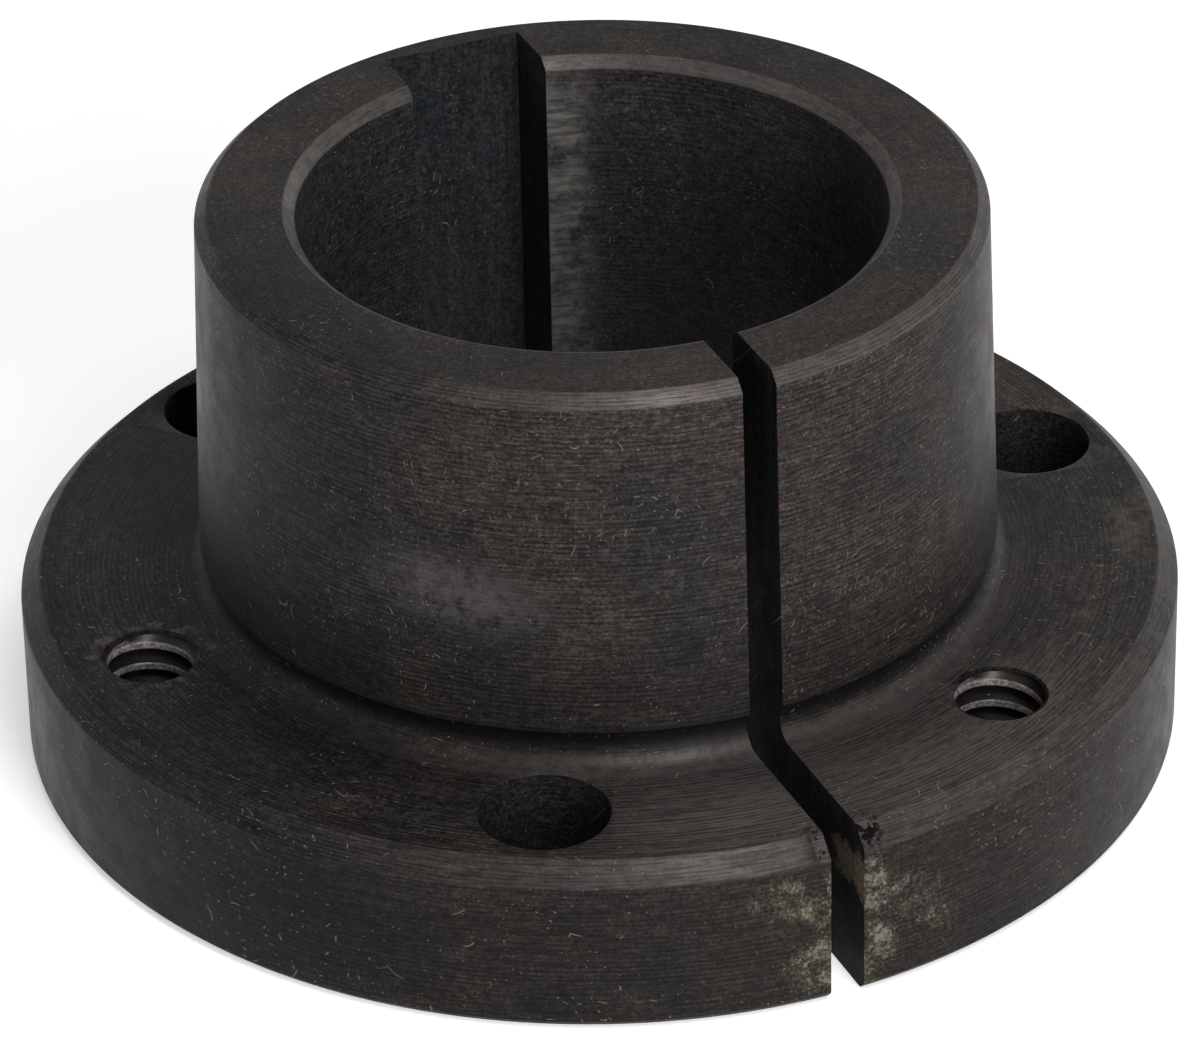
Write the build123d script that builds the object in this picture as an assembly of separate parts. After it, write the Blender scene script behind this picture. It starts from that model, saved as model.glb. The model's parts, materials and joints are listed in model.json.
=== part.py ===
from build123d import *
import os

# Split taper bushing with a bolting flange, one turned piece of steel.
# Millimetres. Z runs along the bore. The outer face of the flange lies on
# Z = 0 and the tapered barrel stands up from it. The saw cut is on the -Y
# side and the keyway on the +Y side.

# Bore and keyway
bore_diameter = 25.4
bore_chamfer = 0.46
keyway_width = bore_diameter / 4
keyway_side_depth = keyway_width / 2

# Tapered barrel, 3/4 inch per foot on the diameter
overall_length = 25.4
barrel_wall_at_flange = 4.825
barrel_slope = 1 / 32
barrel_end_chamfer = 0.5
neck_radius = 0.8
neck_depth = 0.3

# Flange
flange_thickness = 7.9375
flange_ledge_width = 7.875
flange_top_chamfer = 0.87
flange_bottom_chamfer = 0.4

# Saw cut
saw_cut_width = 1.52

# Holes through the flange, bolted and threaded ones in turn
holes_of_each_kind = 3
bolt_hole_to_barrel = 0.732
bolt_hole_to_rim = 1.587
bolt_clearance = 0.73

# Sizes that follow from those above
bore_radius = bore_diameter / 2
barrel_root_radius = bore_radius + barrel_wall_at_flange
barrel_length = overall_length - flange_thickness
barrel_tip_radius = barrel_root_radius - barrel_slope * barrel_length
flange_radius = barrel_root_radius + flange_ledge_width
bolt_hole_radius = (flange_ledge_width - bolt_hole_to_barrel - bolt_hole_to_rim) / 2
bolt_circle_radius = barrel_root_radius + bolt_hole_to_barrel + bolt_hole_radius
thread_major_radius = bolt_hole_radius - bolt_clearance / 2


def barrel_radius_at(height):
    """Radius of the plain taper at a height above the flange's outer face."""
    return barrel_root_radius - barrel_slope * (height - flange_thickness)


# Half section of the turned body, bore left solid
neck_start_height = flange_thickness + 2 * neck_radius
neck_start = (barrel_radius_at(neck_start_height), neck_start_height)
neck_middle = (barrel_root_radius - neck_depth, flange_thickness + neck_radius * 0.75)
neck_end = (barrel_root_radius + neck_radius * 0.55, flange_thickness)
tip_chamfer_height = overall_length - barrel_end_chamfer

with BuildPart() as bushing:
    with BuildSketch(Plane.XZ):
        with BuildLine():
            Polyline(
                (0, 0),
                (flange_radius - flange_bottom_chamfer, 0),
                (flange_radius, flange_bottom_chamfer),
                (flange_radius, flange_thickness - flange_top_chamfer),
                (flange_radius - flange_top_chamfer, flange_thickness),
                neck_end,
            )
            ThreePointArc(neck_end, neck_middle, neck_start)
            Polyline(
                neck_start,
                (barrel_radius_at(tip_chamfer_height), tip_chamfer_height),
                (barrel_tip_radius - barrel_end_chamfer, overall_length),
                (0, overall_length),
                (0, 0),
            )
        make_face()
    revolve(axis=Axis.Z)

    # Bore with a broken edge at both ends
    with BuildSketch(Plane.XZ):
        with BuildLine():
            Polyline(
                (0, 0),
                (bore_radius + bore_chamfer, 0),
                (bore_radius, bore_chamfer),
                (bore_radius, overall_length - bore_chamfer),
                (bore_radius + bore_chamfer, overall_length),
                (0, overall_length),
                (0, 0),
            )
        make_face()
    revolve(axis=Axis.Z, mode=Mode.SUBTRACT)

    # Keyway along the whole bore
    key_corner = (bore_radius**2 - (keyway_width / 2) ** 2) ** 0.5
    keyway_floor = key_corner + keyway_side_depth
    with BuildSketch(Plane.XY):
        with Locations((0, keyway_floor / 2)):
            Rectangle(keyway_width, keyway_floor)
    extrude(amount=overall_length, mode=Mode.SUBTRACT)

    # Saw cut through barrel and flange, opposite the keyway
    with BuildSketch(Plane.XY):
        with Locations((0, -flange_radius / 2)):
            Rectangle(saw_cut_width, flange_radius * 1.02)
    extrude(amount=overall_length, mode=Mode.SUBTRACT)

    # Plain bolt holes and threaded jack screw holes in turn around the flange
    hole_step = 360 / holes_of_each_kind
    first_bolt_hole_angle = -90 - hole_step / 4
    first_thread_angle = -90 + hole_step / 4
    with BuildSketch(Plane.XY):
        with PolarLocations(bolt_circle_radius, holes_of_each_kind, start_angle=first_bolt_hole_angle):
            Circle(bolt_hole_radius)
        with PolarLocations(bolt_circle_radius, holes_of_each_kind, start_angle=first_thread_angle):
            Circle(thread_major_radius)
    extrude(amount=flange_thickness, mode=Mode.SUBTRACT)

os.makedirs("parts", exist_ok=True)
export_step(bushing.part, "parts/taper_bush.step")
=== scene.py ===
"""Split taper bushing: the dressed model, its studio and its camera.

Everything is in metres in the frame of the CAD model: +Z runs along the bore,
the flange's outer face lies on Z = 0, the saw cut is on the -Y side and the
keyway on the +Y side. Sizes given in millimetres are converted once, by MM.
"""

import json
import logging
import math
from dataclasses import dataclass, field
from enum import Enum
from functools import reduce

import bmesh
import bpy
from mathutils import Matrix, Vector

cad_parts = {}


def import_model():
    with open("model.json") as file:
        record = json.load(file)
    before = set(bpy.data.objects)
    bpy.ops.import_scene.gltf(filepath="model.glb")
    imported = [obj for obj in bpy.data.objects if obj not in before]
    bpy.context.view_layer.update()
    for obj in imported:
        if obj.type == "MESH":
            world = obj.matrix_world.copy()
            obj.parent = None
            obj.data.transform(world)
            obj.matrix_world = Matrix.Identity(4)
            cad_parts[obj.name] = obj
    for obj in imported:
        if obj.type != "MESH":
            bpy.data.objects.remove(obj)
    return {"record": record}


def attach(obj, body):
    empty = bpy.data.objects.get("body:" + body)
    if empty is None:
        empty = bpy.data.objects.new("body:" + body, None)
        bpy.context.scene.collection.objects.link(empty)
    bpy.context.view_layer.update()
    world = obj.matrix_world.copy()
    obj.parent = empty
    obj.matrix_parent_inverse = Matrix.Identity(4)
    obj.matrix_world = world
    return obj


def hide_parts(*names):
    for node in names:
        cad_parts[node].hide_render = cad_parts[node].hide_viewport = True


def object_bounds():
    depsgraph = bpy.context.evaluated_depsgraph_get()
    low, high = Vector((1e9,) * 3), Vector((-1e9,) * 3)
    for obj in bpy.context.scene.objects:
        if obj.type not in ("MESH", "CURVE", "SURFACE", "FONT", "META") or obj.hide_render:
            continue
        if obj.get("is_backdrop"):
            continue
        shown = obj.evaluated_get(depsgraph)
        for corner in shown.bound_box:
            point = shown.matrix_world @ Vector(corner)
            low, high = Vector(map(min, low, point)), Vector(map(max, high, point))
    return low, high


MM = 0.001
LOG = logging.getLogger("taper_bushing")

Point = tuple[float, float]
Colour = tuple[float, float, float]
Socket = bpy.types.NodeSocket
Solid = tuple[list[Vector], list[tuple[int, ...]]]


class Region(Enum):
    """The differently machined surfaces of the bushing, in material order."""

    TURNED = 0
    BORED = 1
    SAWN = 2
    BROACHED = 3
    DRILLED = 4
    THREADED = 5


class NodeSketch:
    """Builds a node tree with one short call for each node."""

    def __init__(self, tree: bpy.types.NodeTree) -> None:
        """Empties the tree, ready for new nodes.

        Args:
            tree: The material's or world's node tree.
        """
        self.tree = tree
        tree.nodes.clear()

    def add(self, kind: str, **settings: object) -> bpy.types.Node:
        """Adds a node.

        Args:
            kind: The node's type name, such as ShaderNodeMath.
            **settings: Properties to set on the node.

        Returns:
            The new node.
        """
        node = self.tree.nodes.new(kind)
        for name, value in settings.items():
            setattr(node, name, value)
        return node

    def feed(self, socket: Socket, value: object) -> None:
        """Gives an input socket a link or a plain value.

        Args:
            socket: The input socket.
            value: An output socket to link, or a number or tuple to set.
        """
        if isinstance(value, bpy.types.NodeSocket):
            self.tree.links.new(value, socket)
        else:
            socket.default_value = value

    def math(self, operation: str, a: object, b: object = 0.0) -> Socket:
        """Adds a Math node.

        Args:
            operation: The operation's name, such as MULTIPLY.
            a: First input, a socket or number.
            b: Second input.

        Returns:
            The result's socket.
        """
        node = self.add("ShaderNodeMath", operation=operation)
        for socket, value in zip(node.inputs, (a, b)):
            self.feed(socket, value)
        return node.outputs[0]

    def product(self, *factors: object) -> Socket:
        """Multiplies two or more sockets or numbers."""
        return reduce(lambda a, b: self.math("MULTIPLY", a, b), factors)

    def total(self, *parts: object) -> Socket:
        """Adds two or more sockets or numbers."""
        return reduce(lambda a, b: self.math("ADD", a, b), parts)

    def greater(self, *values: object) -> Socket:
        """Takes the greatest of two or more sockets or numbers."""
        return reduce(lambda a, b: self.math("MAXIMUM", a, b), values)

    def length(self, a: Socket, b: Socket) -> Socket:
        """Returns the length of the line that goes a one way and b across."""
        return self.math("SQRT", self.total(self.product(a, a), self.product(b, b)))

    def gap(self, value: Socket, level: float) -> Socket:
        """Returns how far a value is from a level, either way."""
        return self.math("ABSOLUTE", self.math("SUBTRACT", value, level))

    def step(
        self, value: object, low: float, high: float, to_low: float = 0.0, to_high: float = 1.0
    ) -> Socket:
        """Ramps a value smoothly between two limits.

        Args:
            value: The socket or number to ramp.
            low: Value at which the ramp starts.
            high: Value at which the ramp ends.
            to_low: Result at and before low.
            to_high: Result at and after high.

        Returns:
            The ramped value's socket.
        """
        node = self.add("ShaderNodeMapRange", interpolation_type="SMOOTHSTEP")
        for socket, number in zip(node.inputs, (value, low, high, to_low, to_high)):
            self.feed(socket, number)
        return node.outputs[0]

    def vector(self, x: object, y: object, z: object = 0.0) -> Socket:
        """Combines three values into a vector.

        Args:
            x: The vector's X, a socket or number.
            y: Its Y.
            z: Its Z.

        Returns:
            The vector's socket.
        """
        node = self.add("ShaderNodeCombineXYZ")
        for socket, value in zip(node.inputs, (x, y, z)):
            self.feed(socket, value)
        return node.outputs[0]

    def parts(self, vector: Socket) -> tuple[Socket, Socket, Socket]:
        """Splits a vector into its three parts.

        Args:
            vector: The vector's socket.

        Returns:
            The sockets of its X, Y and Z.
        """
        node = self.add("ShaderNodeSeparateXYZ")
        self.feed(node.inputs[0], vector)
        return tuple(node.outputs)

    def noise(self, vector: Socket, scale: float, detail: float, rough: float, warp: float = 0.0) -> Socket:
        """Adds a noise texture.

        Args:
            vector: Where the noise is sampled.
            scale: Number of features for each unit of the vector.
            detail: Octaves of finer noise.
            rough: Weight of the finer octaves.
            warp: Amount of distortion.

        Returns:
            The noise value's socket, about 0.5 on average.
        """
        node = self.add("ShaderNodeTexNoise")
        self.feed(node.inputs["Vector"], vector)
        settings = {"Scale": scale, "Detail": detail, "Roughness": rough, "Distortion": warp}
        for name, value in settings.items():
            node.inputs[name].default_value = value
        return node.outputs["Fac"]

    def blend(self, factor: object, a: object, b: object, mode: str = "MIX") -> Socket:
        """Mixes two colours.

        Args:
            factor: Share of the second colour, a socket or number.
            a: First colour, a socket or three numbers.
            b: Second colour, a socket or three numbers.
            mode: Blend mode, such as MIX or MULTIPLY.

        Returns:
            The mixed colour's socket.
        """
        node = self.add("ShaderNodeMix", data_type="RGBA", blend_type=mode, clamp_factor=True)
        self.feed(node.inputs[0], factor)
        for socket, value in ((node.inputs[6], a), (node.inputs[7], b)):
            self.feed(socket, value if isinstance(value, bpy.types.NodeSocket) else (*value, 1.0))
        return node.outputs[2]


@dataclass(frozen=True)
class BushSizes:
    """The bushing's sizes in millimetres.

    They are the CAD model's own, apart from the thread's minor radius, pitch and
    mouth and the small break of the drilled holes' edges, which only show here.
    """

    flange_radius: float = 25.4
    flange_thickness: float = 7.9375
    flange_top_chamfer: float = 0.87
    flange_bottom_chamfer: float = 0.4
    overall_length: float = 25.4
    barrel_root_radius: float = 17.525
    barrel_slope: float = 1 / 32
    barrel_end_chamfer: float = 0.5
    neck_radius: float = 0.8
    neck_depth: float = 0.3
    bore_radius: float = 12.7
    bore_chamfer: float = 0.46
    keyway_width: float = 6.35
    keyway_side_depth: float = 3.175
    saw_cut_width: float = 1.52
    bolt_circle_radius: float = 21.035
    bolt_hole_radius: float = 2.778
    thread_major_radius: float = 2.413
    thread_minor_radius: float = 1.875
    thread_mouth_radius: float = 2.12
    thread_mouth_depth: float = 0.16
    thread_pitch: float = 25.4 / 24
    edge_break: float = 0.09

    def barrel_radius(self, height: float) -> float:
        """Returns the taper's radius at a height."""
        return self.barrel_root_radius - self.barrel_slope * (height - self.flange_thickness)

    @property
    def keyway_floor(self) -> float:
        """Distance of the keyway's floor from the axis."""
        return math.sqrt(self.bore_radius**2 - (self.keyway_width / 2) ** 2) + self.keyway_side_depth

    def hole_centres(self, first_angle: float) -> list[Point]:
        """Centres of three holes round the flange.

        Args:
            first_angle: Angle of the first hole from +X, in degrees.

        Returns:
            Three (x, y) centres in millimetres.
        """
        reach = self.bolt_circle_radius
        angles = [math.radians(first_angle + 120 * k) for k in range(3)]
        return [(reach * math.cos(a), reach * math.sin(a)) for a in angles]

    @property
    def bolt_holes(self) -> list[Point]:
        """Centres of the plain holes."""
        return self.hole_centres(-120)

    @property
    def threaded_holes(self) -> list[Point]:
        """Centres of the threaded holes."""
        return self.hole_centres(-60)


class Tone(Enum):
    """Colours of what lies on the skin or shows where it is gone, and of painted shade and light."""

    GRIME = (0.004, 0.004, 0.0045)
    THREAD_ROOT = (0.006, 0.005, 0.0045)
    LINT = (0.290, 0.225, 0.180)
    RUST = (0.135, 0.105, 0.072)
    DUST = (0.110, 0.092, 0.070)
    CRUST_EDGE = (0.060, 0.050, 0.034)
    CRUST_DARK = (0.085, 0.078, 0.060)
    CRUST_PALE = (0.240, 0.212, 0.170)
    PIT = (0.003, 0.003, 0.003)
    DRIED_STAIN = (0.150, 0.141, 0.130)
    SAWN_FOOT = (0.045, 0.040, 0.036)
    SAWN_CRUST = (0.235, 0.195, 0.140)


@dataclass(frozen=True)
class Place:
    """Where a point of the surface is, in millimetres.

    Attributes:
        spot: The position.
        x: Its X.
        y: Its Y.
        z: Its height above the flange's outer face.
        radius: Its distance from the bore's axis.
        angle: Its angle round the bore from the saw cut, in radians.
        girth: The position with the surface unrolled round the bore.
    """

    spot: Socket
    x: Socket
    y: Socket
    z: Socket
    radius: Socket
    angle: Socket
    girth: Socket

    @classmethod
    def find(cls, s: NodeSketch) -> "Place":
        """Adds the nodes that find the place.

        Args:
            s: The sketch to add to.

        Returns:
            The place.
        """
        millimetres = s.add("ShaderNodeVectorMath", operation="SCALE")
        s.feed(millimetres.inputs[0], s.add("ShaderNodeTexCoord").outputs["Object"])
        millimetres.inputs["Scale"].default_value = 1 / MM
        spot = millimetres.outputs[0]
        x, y, z = s.parts(spot)
        radius = s.length(x, y)
        angle = s.math("ARCTAN2", x, s.product(y, -1.0))
        girth = s.vector(s.product(angle, 20.0), s.math("SUBTRACT", z, radius))
        return cls(spot, x, y, z, radius, angle, girth)


@dataclass(frozen=True)
class Ring:
    """A circle round the bore, along which a highlight or a shade is painted.

    Attributes:
        radius: Radius in millimetres.
        height: Height above the flange's outer face in millimetres.
        reach: Distance in millimetres over which the mark fades out.
        strength: Strength on the circle itself, from 0 to 1.
    """

    radius: float
    height: float
    reach: float
    strength: float


@dataclass(frozen=True)
class Bevel:
    """A 45 degree chamfer whose black skin is rubbed thin, partly real wear and partly a painted highlight.

    Attributes:
        outward: 1 where the chamfer faces outwards, -1 where it faces the bore.
        radius: Radius at the chamfer's side edge in millimetres.
        height: Height of the chamfer's side edge in millimetres.
        strength: How much of the skin is gone at most.
        front: Whether the rubbing and its painted highlight are kept to the chamfer's front.
    """

    outward: int
    radius: float
    height: float
    strength: float
    front: bool


@dataclass(frozen=True)
class Patch:
    """A patch of crust on the rim beside the saw cut.

    Attributes:
        x: Its middle's X in millimetres.
        height: Its middle's height in millimetres.
        reach: Its radius in millimetres.
        strength: How thickly it covers, from 0 to 1.
    """

    x: float
    height: float
    reach: float
    strength: float


@dataclass(frozen=True)
class Fibre:
    """A kind of lint, from long fibres to specks of dust.

    Attributes:
        scale: Cells for each millimetre, each with one fibre at most.
        length: Half the length of the longest in millimetres.
        width: Half the width in millimetres.
        share: How common it is, as a multiple of the finish's lint.
    """

    scale: float
    length: float
    width: float
    share: float


FIBRES = (Fibre(0.55, 0.62, 0.030, 1.0), Fibre(1.2, 0.24, 0.034, 1.7), Fibre(2.6, 0.075, 0.034, 2.4))

CRUST_PATCHES = (
    Patch(-2.7, 5.5, 2.4, 0.52),
    Patch(-1.1, 4.6, 1.7, 0.90),
    Patch(-1.2, 1.9, 2.2, 1.00),
    Patch(1.4, 4.9, 1.9, 1.00),
    Patch(1.3, 2.2, 1.9, 0.90),
    Patch(2.9, 4.4, 2.0, 0.66),
    Patch(4.3, 2.5, 1.6, 0.42),
)


@dataclass(frozen=True)
class OxideFinish:
    """Black oxide on machined steel.

    Attributes:
        name: The material's name.
        cool: Bluish-black tone of the skin.
        warm: Brownish-black tone of the skin.
        worn_and_highlight: Tone of the steel where the skin has rubbed thin, also the tone of the painted
            highlights.
        lines: Machining lines for each millimetre.
        line_depth: Depth of the machining lines in millimetres.
        feed: Pitch of the tool's feed grooves in millimetres, or 0 for none.
        across: How much the lines show in the colour, from 0 to 1.
        roughness: Mean roughness.
        anisotropy: Stretch of the highlights across the lines.
        gloss: Specular level of the skin.
        along_bore: Whether the lines run along the bore, not round it.
        lint: Share of the cells that hold a fibre of lint.
        highlight_rings: Circles along which a painted highlight lies, in the worn tone.
        bevels: Rubbed chamfers.
        shade_rings: Circles along which painted shade darkens the skin.
        sizes: The bushing's sizes.
    """

    name: str
    cool: Colour = (0.0175, 0.0175, 0.0184)
    warm: Colour = (0.0370, 0.0300, 0.0262)
    worn_and_highlight: Colour = (0.150, 0.131, 0.124)
    lines: float = 7.5
    line_depth: float = 0.014
    feed: float = 0.23
    across: float = 0.52
    roughness: float = 0.42
    anisotropy: float = 0.75
    gloss: float = 0.10
    along_bore: bool = False
    lint: float = 0.14
    highlight_rings: tuple[Ring, ...] = ()
    bevels: tuple[Bevel, ...] = ()
    shade_rings: tuple[Ring, ...] = ()
    sizes: BushSizes = BushSizes()

    def build(self) -> bpy.types.Material:
        """Builds the material.

        Returns:
            The finished material.
        """
        material = bpy.data.materials.new(self.name)
        material.use_nodes = True
        s = NodeSketch(material.node_tree)
        at = Place.find(s)
        lines = self._lines(s, at)
        # Rubbed skin and painted highlights, both in the worn tone and partly metallic.
        wear_and_highlight = self._wear_and_highlight(s, at, lines)
        colour = s.blend(wear_and_highlight, self._skin(s, at, lines), self.worn_and_highlight)
        # Painted shade in the neck's crease, round the flange's rim and in the threads' roots.
        colour = self._painted_shade(s, at, colour)
        lint = self._lint(s, at)
        colour = s.blend(lint, colour, Tone.LINT.value)
        rough = s.total(s.step(s.noise(at.spot, 0.7, 4, 0.6), 0.3, 0.7, -0.05, 0.06), self.roughness)
        colour, rough = self._marked(s, at, colour, rough)

        bump = s.add("ShaderNodeBump")
        bump.inputs["Strength"].default_value = 1.0
        bump.inputs["Distance"].default_value = self.line_depth * MM
        s.feed(bump.inputs["Height"], s.total(lines, s.product(lint, 1.5)))
        shader = s.add("ShaderNodeBsdfPrincipled")
        s.feed(shader.inputs["Metallic"], s.product(wear_and_highlight, 0.45))
        shader.inputs["Specular IOR Level"].default_value = self.gloss
        shader.inputs["Anisotropic"].default_value = self.anisotropy
        shader.inputs["Anisotropic Rotation"].default_value = 0.25
        s.feed(shader.inputs["Base Color"], colour)
        s.feed(shader.inputs["Roughness"], rough)
        s.feed(shader.inputs["Normal"], bump.outputs[0])
        if not self.along_bore:
            around = s.add("ShaderNodeTangent", direction_type="RADIAL", axis="Z")
            s.feed(shader.inputs["Tangent"], around.outputs[0])
        s.feed(s.add("ShaderNodeOutputMaterial").inputs[0], shader.outputs[0])
        return material

    def _lines(self, s: NodeSketch, at: Place) -> Socket:
        """Machining lines, as a height about 0.5 on average.

        Args:
            s: The sketch to add to.
            at: Where the surface is.

        Returns:
            The height's socket.
        """
        if self.along_bore:
            where = s.vector(at.x, at.y, s.product(at.z, 0.05))
        else:
            where = s.vector(at.radius, at.z, s.product(at.angle, 1.5))
        coarse = s.noise(where, self.lines, 3, 0.6)
        fine = s.noise(where, self.lines * 2.1, 2, 0.6)
        both = s.total(s.product(coarse, 0.5), s.product(fine, 0.5))
        if self.along_bore or not self.feed:
            return both
        travel = s.total(s.math("SUBTRACT", at.z, at.radius), s.product(at.angle, self.feed / math.tau))
        drift = s.product(s.noise(where, 0.9, 2, 0.5), 0.25)
        groove = s.math("SINE", s.product(s.total(travel, drift), math.tau / self.feed))
        strength = s.step(s.noise(where, 0.5, 2, 0.5), 0.35, 0.65, 0.02, 0.075)
        return s.total(both, s.product(groove, strength))

    def _skin(self, s: NodeSketch, at: Place, lines: Socket) -> Socket:
        """Colour of the oxide skin with its cloudy tone and its lines, with painted shade on the -X side
        and painted light on the front.

        Args:
            s: The sketch to add to.
            at: Where the surface is.
            lines: Height of the machining lines.

        Returns:
            The colour's socket.
        """
        # Painted shade and light: the -X side is pulled to the darker cool tone, the front to the lighter
        # warm tone.
        side = s.step(at.x, -24.0, -6.0, -0.15, 0.03)
        front = s.step(at.y, -22.0, -12.0, 0.08, -0.02)
        cloud_and_shade = s.step(s.total(s.noise(at.spot, 0.16, 5, 0.62), side, front), 0.34, 0.66)
        colour = s.blend(cloud_and_shade, self.cool, self.warm)
        mottle = s.step(s.noise(at.spot, 2.6, 4, 0.7), 0.30, 0.72, 0.66, 1.36)
        grain = s.step(s.noise(at.spot, 7.0, 3, 0.75), 0.34, 0.66, 0.50, 1.60)
        top = self.sizes.overall_length
        calm = s.step(at.z, top - 0.3, top - 0.1, 1.0, 0.4)
        across = s.step(lines, 0.38, 0.64, -self.across, self.across)
        shade = s.product(mottle, grain, s.total(1.0, s.product(across, calm)))
        tint = s.step(s.noise(at.spot, 4.5, 2, 0.6), 0.36, 0.64, 0.84, 1.20)
        return s.blend(1.0, colour, s.vector(s.product(shade, tint), shade, shade), "MULTIPLY")

    def _grain(self, s: NodeSketch, at: Place) -> Socket:
        """Returns the uneven grain of the wear and the painted highlights."""
        return s.noise(at.spot, 1.6, 5, 0.7)

    def _wear_and_highlight(self, s: NodeSketch, at: Place, lines: Socket) -> Socket:
        """How far the skin is rubbed through, from 0 to 1, with painted highlights along the rings and
        chamfers.

        Args:
            s: The sketch to add to.
            at: Where the surface is.
            lines: Height of the machining lines.

        Returns:
            The socket of the wear and the painted highlights.
        """
        grain = self._grain(s, at)
        # ahead keeps the painted highlights to the front of the part.
        ahead = s.step(s.gap(at.angle, 0.05), 0.25, 1.1, 1.0, 0.12)
        wear_and_highlight = s.step(grain, 0.66, 0.80, 0.0, 0.30)
        # Painted highlight along each ring, broken up by the grain.
        for ring in self.highlight_rings:
            band = s.product(self._band(s, at, ring), ahead)
            wear_and_highlight = s.greater(wear_and_highlight, s.product(band, s.step(grain, 0.30, 0.62, 0.35, 1.0)))
        # Chamfers: rubbed skin and a painted highlight, glinting along the machining lines.
        for bevel in self.bevels:
            slant = s.total(at.z, s.product(at.radius, bevel.outward))
            level = bevel.height + bevel.outward * bevel.radius
            band = s.step(slant, level - 0.12, level - 0.03, 0.0, bevel.strength)
            band = s.product(band, s.step(at.z, bevel.height + 1.0, bevel.height + 1.1, 1.0, 0.0))
            if bevel.front:
                band = s.product(band, ahead)
            band = s.product(band, s.step(lines, 0.38, 0.60, 0.55, 1.15))
            wear_and_highlight = s.greater(wear_and_highlight, s.product(band, s.step(grain, 0.30, 0.62, 0.6, 1.0)))
        return wear_and_highlight

    def _band(self, s: NodeSketch, at: Place, ring: Ring) -> Socket:
        """A soft band along a ring.

        Args:
            s: The sketch to add to.
            at: Where the surface is.
            ring: The ring.

        Returns:
            The band's socket, the ring's strength at its middle.
        """
        across = s.math("SUBTRACT", at.radius, ring.radius)
        up = s.math("SUBTRACT", at.z, ring.height)
        return s.step(s.length(across, up), ring.reach * 0.35, ring.reach, ring.strength, 0.0)

    def _painted_shade(self, s: NodeSketch, at: Place, colour: Socket) -> Socket:
        """Painted shade along the shade rings, under the lint.

        Args:
            s: The sketch to add to.
            at: Where the surface is.
            colour: Colour so far.

        Returns:
            The new colour.
        """
        for ring in self.shade_rings:
            colour = s.blend(self._band(s, at, ring), colour, Tone.GRIME.value)
        return colour

    def _lint(self, s: NodeSketch, at: Place) -> Socket:
        """Short fibres of lint and specks of dust, from 0 to 1.

        Args:
            s: The sketch to add to.
            at: Where the surface is.

        Returns:
            The lint's socket.
        """
        crowd = s.step(s.noise(at.girth, 0.13, 3, 0.6), 0.36, 0.66, 0.25, 1.5)
        masks = [self._fibres(s, at, kind, crowd) for kind in FIBRES]
        return s.product(s.greater(*masks), 0.8)

    def _fibres(self, s: NodeSketch, at: Place, kind: Fibre, crowd: Socket) -> Socket:
        """Curved fibres of one kind, each in a cell of its own.

        Args:
            s: The sketch to add to.
            at: Where the surface is.
            kind: The kind of lint.
            crowd: How crowded the lint is here.

        Returns:
            The fibres' socket, from 0 to 1.
        """
        cells = s.add("ShaderNodeTexVoronoi", voronoi_dimensions="2D", feature="F1")
        s.feed(cells.inputs["Vector"], at.girth)
        cells.inputs["Scale"].default_value = kind.scale
        pick = s.add("ShaderNodeSeparateColor")
        s.feed(pick.inputs[0], cells.outputs["Color"])
        turn, chance, bend = pick.outputs
        offset = s.add("ShaderNodeVectorMath", operation="SUBTRACT")
        s.feed(offset.inputs[0], at.girth)
        s.feed(offset.inputs[1], cells.outputs["Position"])
        spin = s.add("ShaderNodeVectorRotate", rotation_type="Z_AXIS")
        s.feed(spin.inputs["Vector"], offset.outputs[0])
        s.feed(spin.inputs["Angle"], s.product(turn, 6.283))
        along, aside, _ = s.parts(spin.outputs[0])
        share = self.lint * kind.share
        curve = s.product(along, along, s.product(s.math("SUBTRACT", bend, 0.5), 3.0))
        off_curve = s.math("ABSOLUTE", s.math("SUBTRACT", aside, curve))
        thin = s.step(off_curve, kind.width * 0.4, kind.width, 1.0, 0.0)
        reach = s.product(s.math("DIVIDE", chance, share), kind.length)
        short = s.step(s.math("DIVIDE", s.math("ABSOLUTE", along), reach), 0.5, 1.0, 1.0, 0.0)
        here = s.math("LESS_THAN", chance, s.product(crowd, share))
        faint = s.total(0.3, s.product(bend, 0.6))
        return s.product(thin, short, s.product(here, faint))

    def _from_thread(self, s: NodeSketch, at: Place) -> Socket:
        """Distance from the axis of the nearest threaded hole in millimetres.

        Args:
            s: The sketch to add to.
            at: Where the surface is.

        Returns:
            The distance's socket.
        """
        third = math.radians(120)
        around = s.math("ARCTAN2", at.y, at.x)
        folded = s.math("SUBTRACT", s.math("FLOORED_MODULO", s.total(around, third), third), third / 2)
        along = s.product(at.radius, s.math("COSINE", folded))
        aside = s.product(at.radius, s.math("SINE", folded))
        return s.length(s.math("SUBTRACT", along, self.sizes.bolt_circle_radius), aside)

    def _marked(self, s: NodeSketch, at: Place, colour: Socket, rough: Socket) -> tuple[Socket, Socket]:
        """What lies on the skin and the lint, which is nothing on a plain finish.

        Args:
            s: The sketch to add to.
            at: Where the surface is.
            colour: Colour so far.
            rough: Roughness so far.

        Returns:
            The new colour and roughness.
        """
        return colour, rough


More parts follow.
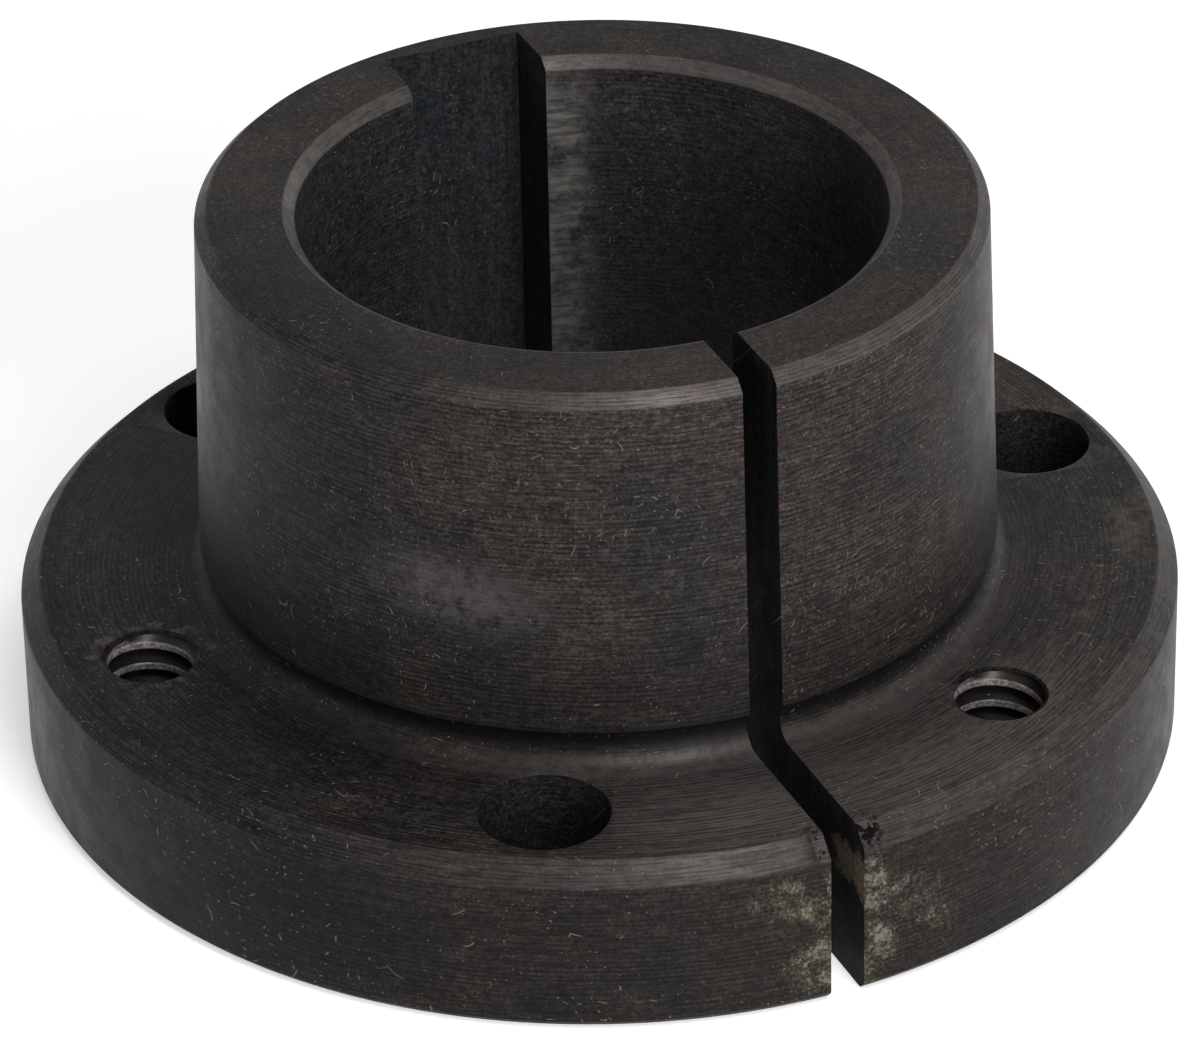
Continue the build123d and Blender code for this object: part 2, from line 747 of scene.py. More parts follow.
@dataclass(frozen=True)
class TurnedFinish(OxideFinish):
    """The turned outside, rubbed on the barrel, with a painted sheen on the flange's front, and with rust,
    dust and crust.
    """

    def _wear_and_highlight(self, s: NodeSketch, at: Place, lines: Socket) -> Socket:
        """Wear with the rubbed smear of the barrel, and a painted sheen on the front of the flange's upper
        face.

        Args:
            s: The sketch to add to.
            at: Where the surface is.
            lines: Height of the machining lines.

        Returns:
            The socket of the wear and the painted sheen.
        """
        across = s.math("DIVIDE", s.total(at.angle, 0.76), 0.27)
        slant = s.total(s.math("SUBTRACT", at.z, 14.6), s.product(at.angle, 1.5))
        away = s.length(across, s.math("DIVIDE", slant, 2.1))
        smear = s.product(s.step(away, 0.2, 1.2, 0.42, 0.0), s.step(self._grain(s, at), 0.30, 0.60))
        # Painted sheen: the front of the flange's upper face, along the machining lines, in the worn tone.
        ahead = s.step(s.gap(at.angle, 0.12), 0.20, 0.85, 0.62, 0.0)
        face = s.step(s.gap(at.z, self.sizes.flange_thickness), 0.05, 0.6, 1.0, 0.0)
        painted_light = s.product(ahead, face, s.step(lines, 0.40, 0.60, 0.30, 1.0))
        return s.greater(super()._wear_and_highlight(s, at, lines), smear, painted_light)

    def _marked(self, s: NodeSketch, at: Place, colour: Socket, rough: Socket) -> tuple[Socket, Socket]:
        """Rust, dust, the crust beside the saw cut, and the painted shade of a dent there.

        Args:
            s: The sketch to add to.
            at: Where the surface is.
            colour: Colour so far.
            rough: Roughness so far.

        Returns:
            The new colour and roughness.
        """
        colour = s.blend(self._mouth_rust(s, at), colour, Tone.RUST.value)
        colour = s.blend(self._rim_dust(s, at), colour, Tone.DUST.value)
        from_cut = s.gap(at.x, 0.2)
        edge, crust = self._crust(s, at, from_cut)
        colour = s.blend(edge, colour, Tone.CRUST_EDGE.value)
        shade = s.step(s.noise(at.spot, 4.6, 4, 0.75), 0.38, 0.62)
        colour = s.blend(crust, colour, s.blend(shade, Tone.CRUST_DARK.value, Tone.CRUST_PALE.value))
        # Painted shade of a small dent beside the saw cut, near black.
        colour = s.blend(self._dent_shade(s, at, from_cut), colour, Tone.PIT.value)
        return colour, s.total(rough, s.product(crust, 0.3))

    def _mouth_rust(self, s: NodeSketch, at: Place) -> Socket:
        """Specks of rust round the mouths of the threaded holes.

        Args:
            s: The sketch to add to.
            at: Where the surface is.

        Returns:
            The rust's socket, from 0 to 1.
        """
        mouth = s.step(self._from_thread(s, at), 2.4, 3.2, 0.10, 0.0)
        specks = s.total(s.noise(at.spot, 1.3, 5, 0.8), mouth)
        return s.product(s.step(specks, 0.58, 0.74), s.step(mouth, 0.0, 0.05, 0.0, 0.45))

    def _rim_dust(self, s: NodeSketch, at: Place) -> Socket:
        """Dust on the flange's upper face, on the +X side of the rim.

        Args:
            s: The sketch to add to.
            at: Where the surface is.

        Returns:
            The dust's socket, from 0 to 1.
        """
        rim = s.product(s.step(at.radius, 20.0, 24.6), s.step(at.angle, 0.6, 1.1))
        rim = s.product(rim, s.step(at.y, 12.0, 17.0, 1.0, 0.0), s.step(at.z, 6.6, 7.4))
        dust = s.total(s.noise(at.spot, 0.35, 6, 0.8), s.step(rim, 0.0, 1.0, 0.0, 0.10))
        return s.product(s.step(dust, 0.56, 0.74), s.step(rim, 0.0, 0.4, 0.0, 0.5))

    def _crust(self, s: NodeSketch, at: Place, from_cut: Socket) -> tuple[Socket, Socket]:
        """Crust on the rim beside the saw cut.

        Args:
            s: The sketch to add to.
            at: Where the surface is.
            from_cut: Distance from the saw cut's middle in millimetres.

        Returns:
            The thin brown edge and the thick tan crust, each from 0 to 1.
        """
        near = s.step(from_cut, 0.8, 1.9, 0.70, 0.0)
        for patch in CRUST_PATCHES:
            aside = s.math("SUBTRACT", at.x, patch.x)
            above = s.math("SUBTRACT", at.z, patch.height)
            covered = s.step(s.length(aside, above), patch.reach * 0.25, patch.reach, patch.strength, 0.0)
            near = s.greater(near, covered)
        near = s.product(near, s.step(at.z, 6.5, 7.1, 1.0, 0.0), s.step(at.y, -24.4, -23.9, 1.0, 0.0))
        blotch = s.noise(at.spot, 0.85, 5, 0.7, 0.3)
        speck = s.noise(at.spot, 7.0, 3, 0.7)
        level = s.total(s.product(blotch, 0.6), s.product(speck, 0.4), s.step(near, 0.0, 1.0, -0.02, 0.11))
        inside = s.step(near, 0.02, 0.25)
        edge = s.product(s.step(level, 0.48, 0.62), s.product(inside, 0.7))
        crust = s.product(s.step(level, 0.575, 0.655), s.product(inside, 0.92))
        return edge, crust

    def _dent_shade(self, s: NodeSketch, at: Place, from_cut: Socket) -> Socket:
        """Black patch on the rim's chamfer beside the saw cut: the painted shade of a small dent.

        Args:
            s: The sketch to add to.
            at: Where the surface is.
            from_cut: Distance from the saw cut's middle in millimetres.

        Returns:
            The painted shade's socket, from 0 to 1.
        """
        corner = s.product(s.step(from_cut, 1.2, 2.2, 1.0, 0.0), s.step(at.y, -24.6, -23.4, 1.0, 0.0))
        ragged = s.step(s.noise(at.spot, 1.7, 4, 0.7), 0.48, 0.54)
        return s.product(corner, s.step(at.z, 6.9, 7.3), ragged)


@dataclass(frozen=True)
class BoredFinish(OxideFinish):
    """The bore, with a pale patch beside the keyway: a dried stain and a painted highlight."""

    def _marked(self, s: NodeSketch, at: Place, colour: Socket, rough: Socket) -> tuple[Socket, Socket]:
        """The pale patch beside the keyway, partly a dried stain and partly a painted highlight.

        Args:
            s: The sketch to add to.
            at: Where the surface is.
            colour: Colour so far.
            rough: Roughness so far.

        Returns:
            The new colour and roughness.
        """
        # Pale strip right of the keyway: whitish stain with a painted highlight of the lit bore wall.
        strip = s.product(s.step(at.x, 3.0, 3.1), s.step(at.x, 4.1, 5.6, 1.0, 0.0), s.step(at.y, 4.0, 6.0))
        level = s.vector(s.product(at.x, 0.6), 0.0, s.product(at.z, 4.0))
        turned = s.step(s.noise(level, 1.0, 3, 0.6), 0.36, 0.64, 0.3, 1.0)
        patchy = s.product(s.step(s.noise(at.spot, 0.55, 4, 0.7), 0.34, 0.62), turned)
        return s.blend(s.product(strip, patchy), colour, Tone.DRIED_STAIN.value), rough


@dataclass(frozen=True)
class SawnFinish(OxideFinish):
    """The walls of the saw cut, with a tan crust and a painted reflection of the floor low down at the rim.
    """

    def _marked(self, s: NodeSketch, at: Place, colour: Socket, rough: Socket) -> tuple[Socket, Socket]:
        """Crust, and the painted reflection of the floor low on the wall, near the rim.

        Args:
            s: The sketch to add to.
            at: Where the surface is.
            colour: Colour so far.
            rough: Roughness so far.

        Returns:
            The new colour and roughness.
        """
        ragged = s.product(s.math("SUBTRACT", s.noise(at.spot, 1.3, 5, 0.7), 0.5), 3.0)
        height = s.total(at.z, ragged)
        outer = s.step(s.total(at.y, ragged), -22.9, -22.2, 1.0, 0.0)
        crust = s.product(s.step(height, 4.5, 4.9), s.step(height, 6.2, 6.8, 1.0, 0.0), outer)
        crust = s.product(crust, s.step(s.noise(at.spot, 5.0, 3, 0.7), 0.30, 0.60, 0.35, 0.95))
        # Painted reflection: the wall's lowest part, next to the floor, made paler.
        painted_light = s.product(s.step(height, 1.4, 2.4, 1.0, 0.0), s.product(outer, 0.6))
        colour = s.blend(painted_light, colour, Tone.SAWN_FOOT.value)
        colour = s.blend(crust, colour, Tone.SAWN_CRUST.value)
        return colour, s.total(rough, s.product(crust, 0.3))


@dataclass(frozen=True)
class ThreadedFinish(OxideFinish):
    """The threads, bright on their crests and with painted shade at their roots."""

    def _painted_shade(self, s: NodeSketch, at: Place, colour: Socket) -> Socket:
        """Darkens the roots with painted shade.

        Args:
            s: The sketch to add to.
            at: Where the surface is.
            colour: Colour so far.

        Returns:
            The new colour.
        """
        crest = self.sizes.thread_minor_radius
        # Painted shade in the roots of the thread.
        roots = s.step(self._from_thread(s, at), crest + 0.005, crest + 0.05, 0.0, 0.97)
        return s.blend(roots, colour, Tone.THREAD_ROOT.value)


@dataclass(frozen=True)
class Profile:
    """The half section of the turned body, with every edge slightly broken.

    Attributes:
        sizes: The bushing's sizes.
        neck_steps: Straight parts of the neck's arc.
    """

    sizes: BushSizes
    neck_steps: int = 14

    def corners(self) -> list[tuple[Point, float]]:
        """Corners of the section with the radius that breaks each one.

        Returns:
            Pairs of (radius, height) and edge radius, in millimetres.
        """
        s = self.sizes
        top = s.overall_length
        tip = s.barrel_radius(top)
        chamfer_low = top - s.barrel_end_chamfer
        points: list[tuple[Point, float]] = [
            ((s.bore_radius + s.bore_chamfer, 0.0), 0.06),
            ((s.bore_radius, s.bore_chamfer), 0.06),
            ((s.bore_radius, top - s.bore_chamfer), 0.06),
            ((s.bore_radius + s.bore_chamfer, top), 0.06),
            ((tip - s.barrel_end_chamfer, top), 0.08),
            ((s.barrel_radius(chamfer_low), chamfer_low), 0.10),
        ]
        points += [(point, 0.0) for point in self.neck()]
        points += [
            ((s.flange_radius - s.flange_top_chamfer, s.flange_thickness), 0.10),
            ((s.flange_radius, s.flange_thickness - s.flange_top_chamfer), 0.12),
            ((s.flange_radius, s.flange_bottom_chamfer), 0.08),
            ((s.flange_radius - s.flange_bottom_chamfer, 0.0), 0.06),
        ]
        return points

    def neck(self) -> list[Point]:
        """Points of the concave neck between barrel and flange.

        Returns:
            Points from the taper to the flange, in millimetres.
        """
        s = self.sizes
        neck_top = s.flange_thickness + 2 * s.neck_radius
        a = Vector((s.barrel_radius(neck_top), neck_top))
        b = Vector((s.barrel_root_radius - s.neck_depth, s.flange_thickness + s.neck_radius * 0.75))
        c = Vector((s.barrel_root_radius + s.neck_radius * 0.55, s.flange_thickness))
        centre = self.centre_of(a, b, c)
        start = math.atan2(a.y - centre.y, a.x - centre.x) % math.tau
        end = math.atan2(c.y - centre.y, c.x - centre.x) % math.tau
        reach = (a - centre).length
        turns = [start + (end - start) * k / self.neck_steps for k in range(self.neck_steps + 1)]
        return [(centre.x + reach * math.cos(t), centre.y + reach * math.sin(t)) for t in turns]

    def centre_of(self, a: Vector, b: Vector, c: Vector) -> Vector:
        """Centre of the circle through three points.

        Args:
            a: First point.
            b: Second point.
            c: Third point.

        Returns:
            The centre.
        """
        d = 2 * (a.x * (b.y - c.y) + b.x * (c.y - a.y) + c.x * (a.y - b.y))
        aa, bb, cc = a.length_squared, b.length_squared, c.length_squared
        x = (aa * (b.y - c.y) + bb * (c.y - a.y) + cc * (a.y - b.y)) / d
        y = (aa * (c.x - b.x) + bb * (a.x - c.x) + cc * (b.x - a.x)) / d
        return Vector((x, y))

    def points(self) -> list[Point]:
        """The whole closed section with its edges rounded.

        Returns:
            Points in order, in millimetres.
        """
        corners = self.corners()
        result: list[Point] = []
        for k, (corner, radius) in enumerate(corners):
            if radius == 0.0:
                result.append(corner)
                continue
            here = Vector(corner)
            to_last = (Vector(corners[k - 1][0]) - here).normalized()
            to_next = (Vector(corners[(k + 1) % len(corners)][0]) - here).normalized()
            for t in (0.0, 0.33, 0.67, 1.0):
                a, b = here + to_last * radius * 0.8, here + to_next * radius * 0.8
                bent = a * (1 - t) ** 2 + here * 2 * t * (1 - t) + b * t**2
                result.append((bent.x, bent.y))
        return result


@dataclass
class BushBody:
    """The one-piece bushing: turned body, bore, keyway, saw cut and holes.

    Attributes:
        sizes: The bushing's sizes.
        name: The piece's name.
        body_steps: Straight parts in one turn of the turned body.
        hole_steps: Straight parts in one turn of a drill.
        thread_steps: Straight parts in one turn of a tap.
        tap_start: Height at which the taps' threads start, in millimetres.
        tap_turns: Turns of a tap's thread.
        tap_fade: Where a thread begins to deepen behind a face, and over what depth.
        cut_margin: How far the cutters reach past the body.
    """

    sizes: BushSizes = field(default_factory=BushSizes)
    name: str = "bushing_body"
    body_steps: int = 384
    hole_steps: int = 96
    thread_steps: int = 64
    tap_start: float = -1.97
    tap_turns: int = 12
    tap_fade: tuple[float, float] = (0.05, 0.40)
    cut_margin: float = 1.0

    def build(self, node: str, slot: str) -> bpy.types.Object:
        """Builds and dresses the bushing.

        Args:
            node: The CAD node that it stands for.
            slot: The record's material slot; not used.

        Returns:
            The finished piece.
        """
        blank = self._object("turned_blank", self._turned())
        cutters = self._object("cutters", self._cutters())
        tapped = self._object("tapped_blank", self._subtract(blank, cutters))
        cones = [cone for x, y in self.sizes.threaded_holes for cone in self._countersinks(x, y)]
        sinks = self._object("countersinks", self._joined("countersinks", cones))
        piece = self._object(self.name, self._subtract(tapped, sinks))
        self._dress(piece)
        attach(piece, "root")
        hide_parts(node)
        return piece

    def _object(self, name: str, mesh: bpy.types.Mesh) -> bpy.types.Object:
        """Makes an object of a mesh and links it to the scene.

        Args:
            name: The object's name.
            mesh: Its mesh.

        Returns:
            The object.
        """
        thing = bpy.data.objects.new(name, mesh)
        bpy.context.scene.collection.objects.link(thing)
        return thing

    def _mesh(self, name: str, points: list[Vector], faces: list[tuple[int, ...]]) -> bpy.types.Mesh:
        """Makes a closed mesh with its faces turned outwards.

        Args:
            name: The mesh's name.
            points: Corners in millimetres.
            faces: Corner numbers of each face.

        Returns:
            The mesh, in metres.
        """
        mesh = bpy.data.meshes.new(name)
        mesh.from_pydata([p * MM for p in points], [], faces)
        shape = bmesh.new()
        shape.from_mesh(mesh)
        bmesh.ops.recalc_face_normals(shape, faces=shape.faces)
        shape.to_mesh(mesh)
        shape.free()
        return mesh

    def _turned(self) -> bpy.types.Mesh:
        """Turns the section round the bore's axis.

        Returns:
            The turned body without its cuts and holes.
        """
        section = Profile(self.sizes).points()
        count = len(section)
        points: list[Vector] = []
        for k in range(self.body_steps):
            turn = math.tau * (k + 0.5) / self.body_steps
            points += [Vector((r * math.cos(turn), r * math.sin(turn), h)) for r, h in section]
        faces = []
        for k in range(self.body_steps):
            here, there = k * count, ((k + 1) % self.body_steps) * count
            for j in range(count):
                ahead = (j + 1) % count
                faces.append((here + j, there + j, there + ahead, here + ahead))
        return self._mesh("turned_blank", points, faces)

    def _cutters(self) -> bpy.types.Mesh:
        """The cuts, the drills and the taps.

        Returns:
            All of them as one mesh.
        """
        s, past = self.sizes, self.cut_margin
        saw, key, top = s.saw_cut_width / 2, s.keyway_width / 2, s.overall_length + past
        solids = [
            self._box((-saw, -s.flange_radius - past, -past), (saw, -2 * past, top)),
            self._box((-key, 2 * past, -past), (key, s.keyway_floor, top)),
        ]
        solids += [self._drill(x, y) for x, y in s.bolt_holes]
        solids += [self._tap(x, y) for x, y in s.threaded_holes]
        return self._joined("cutters", solids)

    def _joined(self, name: str, solids: list[Solid]) -> bpy.types.Mesh:
        """Several closed solids as one mesh.

        Args:
            name: The mesh's name.
            solids: Points and faces of each solid.

        Returns:
            The mesh.
        """
        points: list[Vector] = []
        faces: list[tuple[int, ...]] = []
        for more_points, more_faces in solids:
            base = len(points)
            points += more_points
            faces += [tuple(base + j for j in face) for face in more_faces]
        return self._mesh(name, points, faces)

    def _box(self, low: tuple[float, float, float], high: tuple[float, float, float]) -> Solid:
        """A block between two corners.

        Args:
            low: The lowest corner in millimetres.
            high: The highest corner in millimetres.

        Returns:
            Points and faces.
        """
        xs, ys, zs = zip(low, high)
        points = [Vector((x, y, z)) for x in xs for y in ys for z in zs]
        return points, [(0, 1, 3, 2), (4, 6, 7, 5), (0, 4, 5, 1), (2, 3, 7, 6), (0, 2, 6, 4), (1, 5, 7, 3)]

    def _drill(self, x: float, y: float) -> Solid:
        """A drill with flares that break the hole's two edges.

        Args:
            x: The hole's X in millimetres.
            y: The hole's Y in millimetres.

        Returns:
            Points and faces.
        """
        s = self.sizes
        radius, thick, edge = s.bolt_hole_radius, s.flange_thickness, s.edge_break
        wide = radius + edge
        flare = [(radius, edge), (radius + 0.3 * edge, 0.3 * edge), (wide, 0.0), (wide, -0.5)]
        rows = flare[::-1] + [(r, thick - h) for r, h in flare]
        return self._spun(x, y, rows)

    def _countersinks(self, x: float, y: float) -> list[Solid]:
        """The two flat cones that open the ends of one threaded hole.

        Args:
            x: The hole's X in millimetres.
            y: The hole's Y in millimetres.

        Returns:
            Points and faces of each cone.
        """
        s = self.sizes
        wide, narrow, deep = s.thread_mouth_radius, s.thread_minor_radius, s.thread_mouth_depth
        side = [(narrow - 0.3, -deep - 0.2), (narrow, -deep), (wide, 0.0), (wide, 0.5)]
        upper = [(radius, s.flange_thickness + height) for radius, height in side]
        lower = [(radius, -height) for radius, height in reversed(side)]
        return [self._spun(x, y, upper), self._spun(x, y, lower)]

    def _spun(self, x: float, y: float, rows: list[Point]) -> Solid:
        """A closed solid turned about an upright axis.

        Args:
            x: The axis's X in millimetres.
            y: The axis's Y in millimetres.
            rows: Radius and height of each ring, from the bottom up.

        Returns:
            Points and faces.
        """
        count = self.hole_steps
        points = []
        for r, h in rows:
            for k in range(count):
                turn = math.tau * k / count
                points.append(Vector((x + r * math.cos(turn), y + r * math.sin(turn), h)))
        faces: list[tuple[int, ...]] = []
        for row in range(len(rows) - 1):
            for k in range(count):
                a, b = row * count + k, row * count + (k + 1) % count
                faces.append((a, b, b + count, a + count))
        faces.append(tuple(range(count)))
        faces.append(tuple(range((len(rows) - 1) * count, len(rows) * count)))
        return points, faces

    def _tap(self, x: float, y: float) -> Solid:
        """A right-hand tap that cuts the whole thread of one hole.

        Args:
            x: The hole's X in millimetres.
            y: The hole's Y in millimetres.

        Returns:
            Points and faces.
        """
        s = self.sizes
        high, low = s.thread_major_radius, s.thread_minor_radius
        flank = low + 0.03
        form = ((0.0, high), (0.125, high), (0.40, flank), (0.45, low), (0.675, low), (0.725, flank))
        count, rows, turns = self.thread_steps, len(form), self.tap_turns
        shallow, deepening = self.tap_fade
        index: dict[tuple[int, int], int] = {}
        points: list[Vector] = []
        for k in range(count):
            last = rows * (turns + 1) if k == 0 else rows * turns
            for row in range(last + 1):
                phase, radius = form[row % rows]
                height = self.tap_start + s.thread_pitch * (row // rows + phase + k / count)
                inside = min(height, s.flange_thickness - height)
                full = min(1.0, max(0.0, (inside - shallow) / deepening))
                radius = min(radius, low + (high - low) * full)
                turn = math.tau * k / count
                aside, along = radius * math.cos(turn), radius * math.sin(turn)
                index[k, row] = len(points)
                points.append(Vector((x + aside, y + along, height)))
        faces: list[tuple[int, ...]] = []
        for k in range(count):
            ahead, lift = (k + 1, 0) if k + 1 < count else (0, rows)
            for row in range(rows * turns):
                a, b = index[k, row], index[ahead, row + lift]
                c, d = index[ahead, row + 1 + lift], index[k, row + 1]
                faces.append((a, b, c, d))
        for first in (0, rows * turns):
            loop = [index[k, first] for k in range(count)]
            loop += [index[0, first + rows - j] for j in range(rows)]
            middle = len(points)
            height = self.tap_start + s.thread_pitch * (first // rows + 0.5)
            points.append(Vector((x, y, height)))
            faces += [(loop[j], loop[(j + 1) % len(loop)], middle) for j in range(len(loop))]
        return points, faces

    def _subtract(self, blank: bpy.types.Object, cutters: bpy.types.Object) -> bpy.types.Mesh:
        """Cuts the cutters out of the blank and removes both objects.

        Args:
            blank: The turned blank.
            cutters: The cutters.

        Returns:
            The cut mesh.
        """
        cut = blank.modifiers.new("cut", "BOOLEAN")
        cut.operation, cut.solver, cut.object = "DIFFERENCE", "EXACT", cutters
        cut.use_self = False
        bpy.context.view_layer.update()
        graph = bpy.context.evaluated_depsgraph_get()
        mesh = bpy.data.meshes.new_from_object(blank.evaluated_get(graph))
        for thing in (blank, cutters):
            bpy.data.objects.remove(thing)
        return mesh

    def _region(self, centre: Vector, normal: Vector) -> Region:
        """Tells which machined surface a face belongs to.

        Args:
            centre: The face's centre in millimetres.
            normal: The face's normal.

        Returns:
            The surface's region.
        """
        s = self.sizes
        radius = math.hypot(centre.x, centre.y)
        if radius > s.barrel_root_radius + 0.4:
            for x, y in s.threaded_holes:
                inside = math.hypot(centre.x - x, centre.y - y) < s.thread_major_radius + 0.06
                if inside and abs(normal.z) < 0.99:
                    from_middle = abs(centre.z - s.flange_thickness / 2)
                    mouth = from_middle > s.flange_thickness / 2 - s.thread_mouth_depth - 0.01
                    return Region.DRILLED if mouth else Region.THREADED
            for x, y in s.bolt_holes:
                inside = math.hypot(centre.x - x, centre.y - y) < s.bolt_hole_radius + 0.12
                if inside and abs(normal.z) < 0.9:
                    return Region.DRILLED
        if abs(abs(centre.x) - s.saw_cut_width / 2) < 0.01 and abs(normal.x) > 0.99 and centre.y < 0:
            return Region.SAWN
        if centre.y > 0 and abs(centre.x) < s.keyway_width / 2 + 0.01 and radius > s.bore_radius - 0.5:
            if abs(normal.x) > 0.99 or (abs(normal.y) > 0.99 and centre.y < s.keyway_floor + 0.1):
                return Region.BROACHED
        if radius < s.bore_radius + s.bore_chamfer * 0.4 and abs(normal.z) < 0.5:
            return Region.BORED
        return Region.TURNED

    def _finishes(self) -> dict[Region, OxideFinish]:
        """The finish of each surface.

        Returns:
            One finish for each region.
        """
        s = self.sizes
        top = s.overall_length
        tip_edge = top - s.barrel_end_chamfer
        # Painted highlight on the front of the neck's fillet.
        highlight_rings = (Ring(s.barrel_root_radius + 0.45, s.flange_thickness + 0.05, 0.95, 0.95),)
        # Chamfers rubbed thin and painted bright as highlights; the two outer ones on the front only.
        bevels = (
            Bevel(1, s.flange_radius, s.flange_thickness - s.flange_top_chamfer, 0.50, True),
            Bevel(1, s.barrel_radius(tip_edge), tip_edge, 0.62, True),
            Bevel(-1, s.bore_radius, top - s.bore_chamfer, 0.60, False),
        )
        # Painted shade in the crease of the neck, down the barrel's foot and round the flange's rim.
        shade_rings = (
            Ring(s.barrel_root_radius - 0.2, s.flange_thickness + 1.15, 0.80, 0.85),
            Ring(s.barrel_root_radius - 0.2, s.flange_thickness + 1.2, 5.5, 0.42),
            Ring(s.flange_radius, s.flange_thickness * 0.45, 5.6, 0.48),
        )
        return {
            Region.TURNED: TurnedFinish("turned_black_oxide", highlight_rings=highlight_rings, bevels=bevels, shade_rings=shade_rings),
            Region.BORED: BoredFinish(
                "bored_black_oxide",
                cool=(0.018, 0.0190, 0.0215),
                warm=(0.028, 0.0265, 0.0265),
                bevels=bevels,
                lines=6.0,
                across=0.30,
            ),
            Region.SAWN: SawnFinish(
                "sawn_black_oxide",
                cool=(0.010, 0.011, 0.014),
                warm=(0.015, 0.0145, 0.015),
                gloss=0.03,
                roughness=0.6,
                lines=3.0,
                anisotropy=0.0,
                along_bore=True,
                lint=0.05,
            ),
            Region.BROACHED: OxideFinish(
                "broached_black_oxide",
                cool=(0.020, 0.0215, 0.0245),
                warm=(0.026, 0.0255, 0.026),
                gloss=0.12,
                lines=3.0,
                across=0.2,
                anisotropy=0.0,
                along_bore=True,
            ),
            Region.DRILLED: OxideFinish(
                "drilled_black_oxide",
                cool=(0.012, 0.0125, 0.015),
                warm=(0.016, 0.015, 0.0155),
                gloss=0.04,
                feed=0.0,
                lint=0.04,
            ),
            Region.THREADED: ThreadedFinish(
                "threaded_steel",
                cool=(0.150, 0.141, 0.135),
                warm=(0.235, 0.208, 0.189),
                gloss=0.35,
                roughness=0.33,
                lines=5.0,
                line_depth=0.006,
                feed=0.0,
                across=0.15,
                anisotropy=0.0,
                lint=0.05,
            ),
        }

    def _dress(self, piece: bpy.types.Object) -> None:
        """Shades the piece and gives each surface its finish.

        Args:
            piece: The cut bushing.
        """
        mesh = piece.data
        mesh.materials.clear()
        finishes = self._finishes()
        for region in Region:
            mesh.materials.append(finishes[region].build())
        for face in mesh.polygons:
            face.material_index = self._region(face.center / MM, face.normal).value
            face.use_smooth = True
        mesh.set_sharp_from_angle(angle=math.radians(26))


@dataclass(frozen=True)
class SoftLight:
    """A square soft light aimed at the part.

    Attributes:
        name: Its name.
        place: Its position in metres.
        size: Its side in metres.
        power: Its power in watts.
    """

    name: str
    place: tuple[float, float, float]
    size: float
    power: float

    def build(self) -> None:
        """Adds the light to the scene."""
        data = bpy.data.lights.new(self.name, "AREA")
        data.shape, data.size, data.energy = "SQUARE", self.size, self.power
        light = bpy.data.objects.new(self.name, data)
        light.location = self.place
        aim = Vector((0.0, 0.0, 0.012)) - Vector(self.place)
        light.rotation_mode = "QUATERNION"
        light.rotation_quaternion = aim.to_track_quat("-Z", "Y")
        bpy.context.scene.collection.objects.link(light)


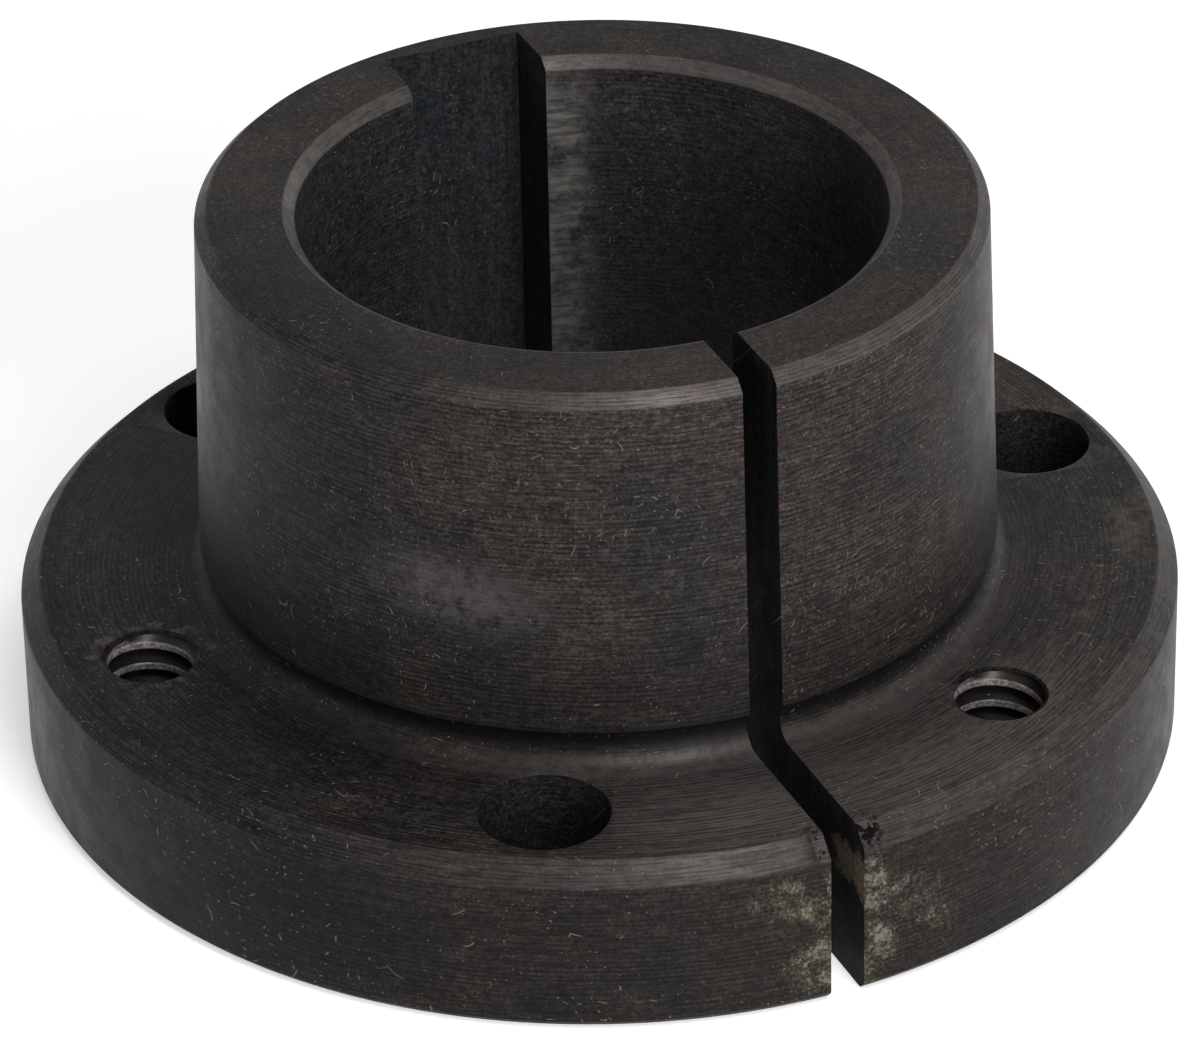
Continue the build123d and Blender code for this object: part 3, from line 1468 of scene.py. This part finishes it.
@dataclass
class Studio:
    """Pale floor, soft lights and white surroundings.

    Attributes:
        floor_size: Side of the floor in metres.
        floor_tone: Colour of the floor.
        ambient: Strength of the surroundings for diffuse light.
        overhead: Tone of the surroundings overhead.
        floor_lift: Brightness added to the floor as it is seen.
        lights: The soft lights.
    """

    floor_size: float = 4.0
    floor_tone: Colour = (0.90, 0.90, 0.90)
    ambient: float = 0.34
    overhead: float = 0.22
    floor_lift: float = 0.50
    lights: tuple[SoftLight, ...] = (
        SoftLight("low_front_softbox", (0.05, -0.68, 0.32), 0.34, 3.0),
        SoftLight("high_front_softbox", (-0.02, -0.42, 0.68), 0.24, 2.2),
        SoftLight("back_softbox", (0.16, 0.42, 0.66), 0.34, 0.6),
        SoftLight("left_softbox", (-0.66, 0.16, 0.26), 0.26, 0.3),
        SoftLight("right_softbox", (0.60, 0.34, 0.26), 0.26, 0.4),
    )

    def build(self, low: Vector) -> None:
        """Builds the floor, the surroundings and the lights.

        Args:
            low: Lowest corner of the part, which stands on the floor.
        """
        self._floor(low.z)
        self._surroundings()
        for light in self.lights:
            light.build()

    def _floor(self, height: float) -> None:
        """Adds the floor just under the part.

        Args:
            height: Height of the part's lowest face.
        """
        half = self.floor_size / 2
        mesh = bpy.data.meshes.new("floor")
        corners = [(-half, -half, 0), (half, -half, 0), (half, half, 0), (-half, half, 0)]
        mesh.from_pydata(corners, [], [(0, 1, 2, 3)])
        floor = bpy.data.objects.new("floor", mesh)
        floor.location.z = height - 0.00003
        bpy.context.scene.collection.objects.link(floor)
        material = bpy.data.materials.new("pale_floor")
        material.use_nodes = True
        s = NodeSketch(material.node_tree)
        shader = s.add("ShaderNodeBsdfDiffuse")
        s.feed(shader.inputs["Color"], (*self.floor_tone, 1.0))
        lift = s.add("ShaderNodeEmission")
        s.feed(lift.inputs["Strength"], s.product(self._seen(s), self.floor_lift))
        both = s.add("ShaderNodeAddShader")
        s.feed(both.inputs[0], shader.outputs[0])
        s.feed(both.inputs[1], lift.outputs[0])
        s.feed(s.add("ShaderNodeOutputMaterial").inputs[0], both.outputs[0])
        mesh.materials.append(material)
        floor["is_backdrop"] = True

    def _seen(self, s: NodeSketch) -> Socket:
        """Returns 1 where the eye looks, straight on, by reflection or through glass."""
        path = s.add("ShaderNodeLightPath")
        return s.greater(*(path.outputs[f"Is {kind} Ray"] for kind in ("Camera", "Glossy", "Transmission")))

    def _surroundings(self) -> None:
        """Makes the world white at the horizon and darker overhead, to the eye and to reflections."""
        world = bpy.data.worlds.new("surroundings")
        world.use_nodes = True
        bpy.context.scene.world = world
        s = NodeSketch(world.node_tree)
        seen = self._seen(s)
        back = s.add("ShaderNodeBackground")
        _, _, up = s.parts(s.add("ShaderNodeTexCoord").outputs["Generated"])
        tone = s.step(up, 0.12, 0.55, 0.95, self.overhead)
        s.feed(back.inputs["Color"], s.vector(tone, tone, tone))
        s.feed(back.inputs["Strength"], s.step(seen, 0.0, 1.0, self.ambient, 1.0))
        s.feed(s.add("ShaderNodeOutputWorld").inputs[0], back.outputs[0])


@dataclass
class Viewpoint:
    """The camera.

    Attributes:
        turn: Angle round the part from straight before the saw cut, in degrees.
        elevation: Angle above the floor in degrees.
        roll: Roll of the camera in degrees.
        right: Sideways offset of the part in the view, in metres.
        up: Upward offset of the part in the view, in metres.
        distance: Distance from the part in metres.
        lens: Focal length in millimetres.
    """

    turn: float = 23.2182
    elevation: float = 31.4496
    roll: float = 1.1494
    right: float = 0.0000841
    up: float = -0.0076072
    distance: float = 0.3147354
    lens: float = 212.036

    def build(self) -> None:
        """Makes the scene's camera."""
        data = bpy.data.cameras.new("camera")
        data.sensor_fit, data.sensor_width, data.lens = "HORIZONTAL", 36.0, self.lens
        data.clip_start, data.clip_end = 0.01, 20.0
        camera = bpy.data.objects.new("camera", data)
        bpy.context.scene.collection.objects.link(camera)
        tilt = Matrix.Rotation(math.radians(90 - self.elevation), 3, "X")
        swing = Matrix.Rotation(math.radians(-self.turn), 3, "Z")
        roll = Matrix.Rotation(math.radians(-self.roll), 3, "Z")
        axes = swing @ tilt @ roll
        place = axes @ Vector((-self.right, -self.up, self.distance))
        camera.matrix_world = Matrix.Translation(place) @ axes.to_4x4()
        bpy.context.scene.camera = camera


def main() -> None:
    """Builds the bushing, its studio and its camera."""
    logging.basicConfig(level=logging.INFO, format="%(name)s: %(message)s")
    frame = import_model()
    cad_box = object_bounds()
    node = frame["record"]["subparts"][0]["node"]
    slot = frame["record"]["subparts"][0]["material_slot"]
    body = BushBody().build(node, slot)
    LOG.info("%s: %d faces", body.name, len(body.data.polygons))
    Studio().build(cad_box[0])
    Viewpoint().build()
    LOG.info("studio and camera are in place")
    bpy.context.scene.view_settings.view_transform = "Standard"


if __name__ == "__main__":
    main()
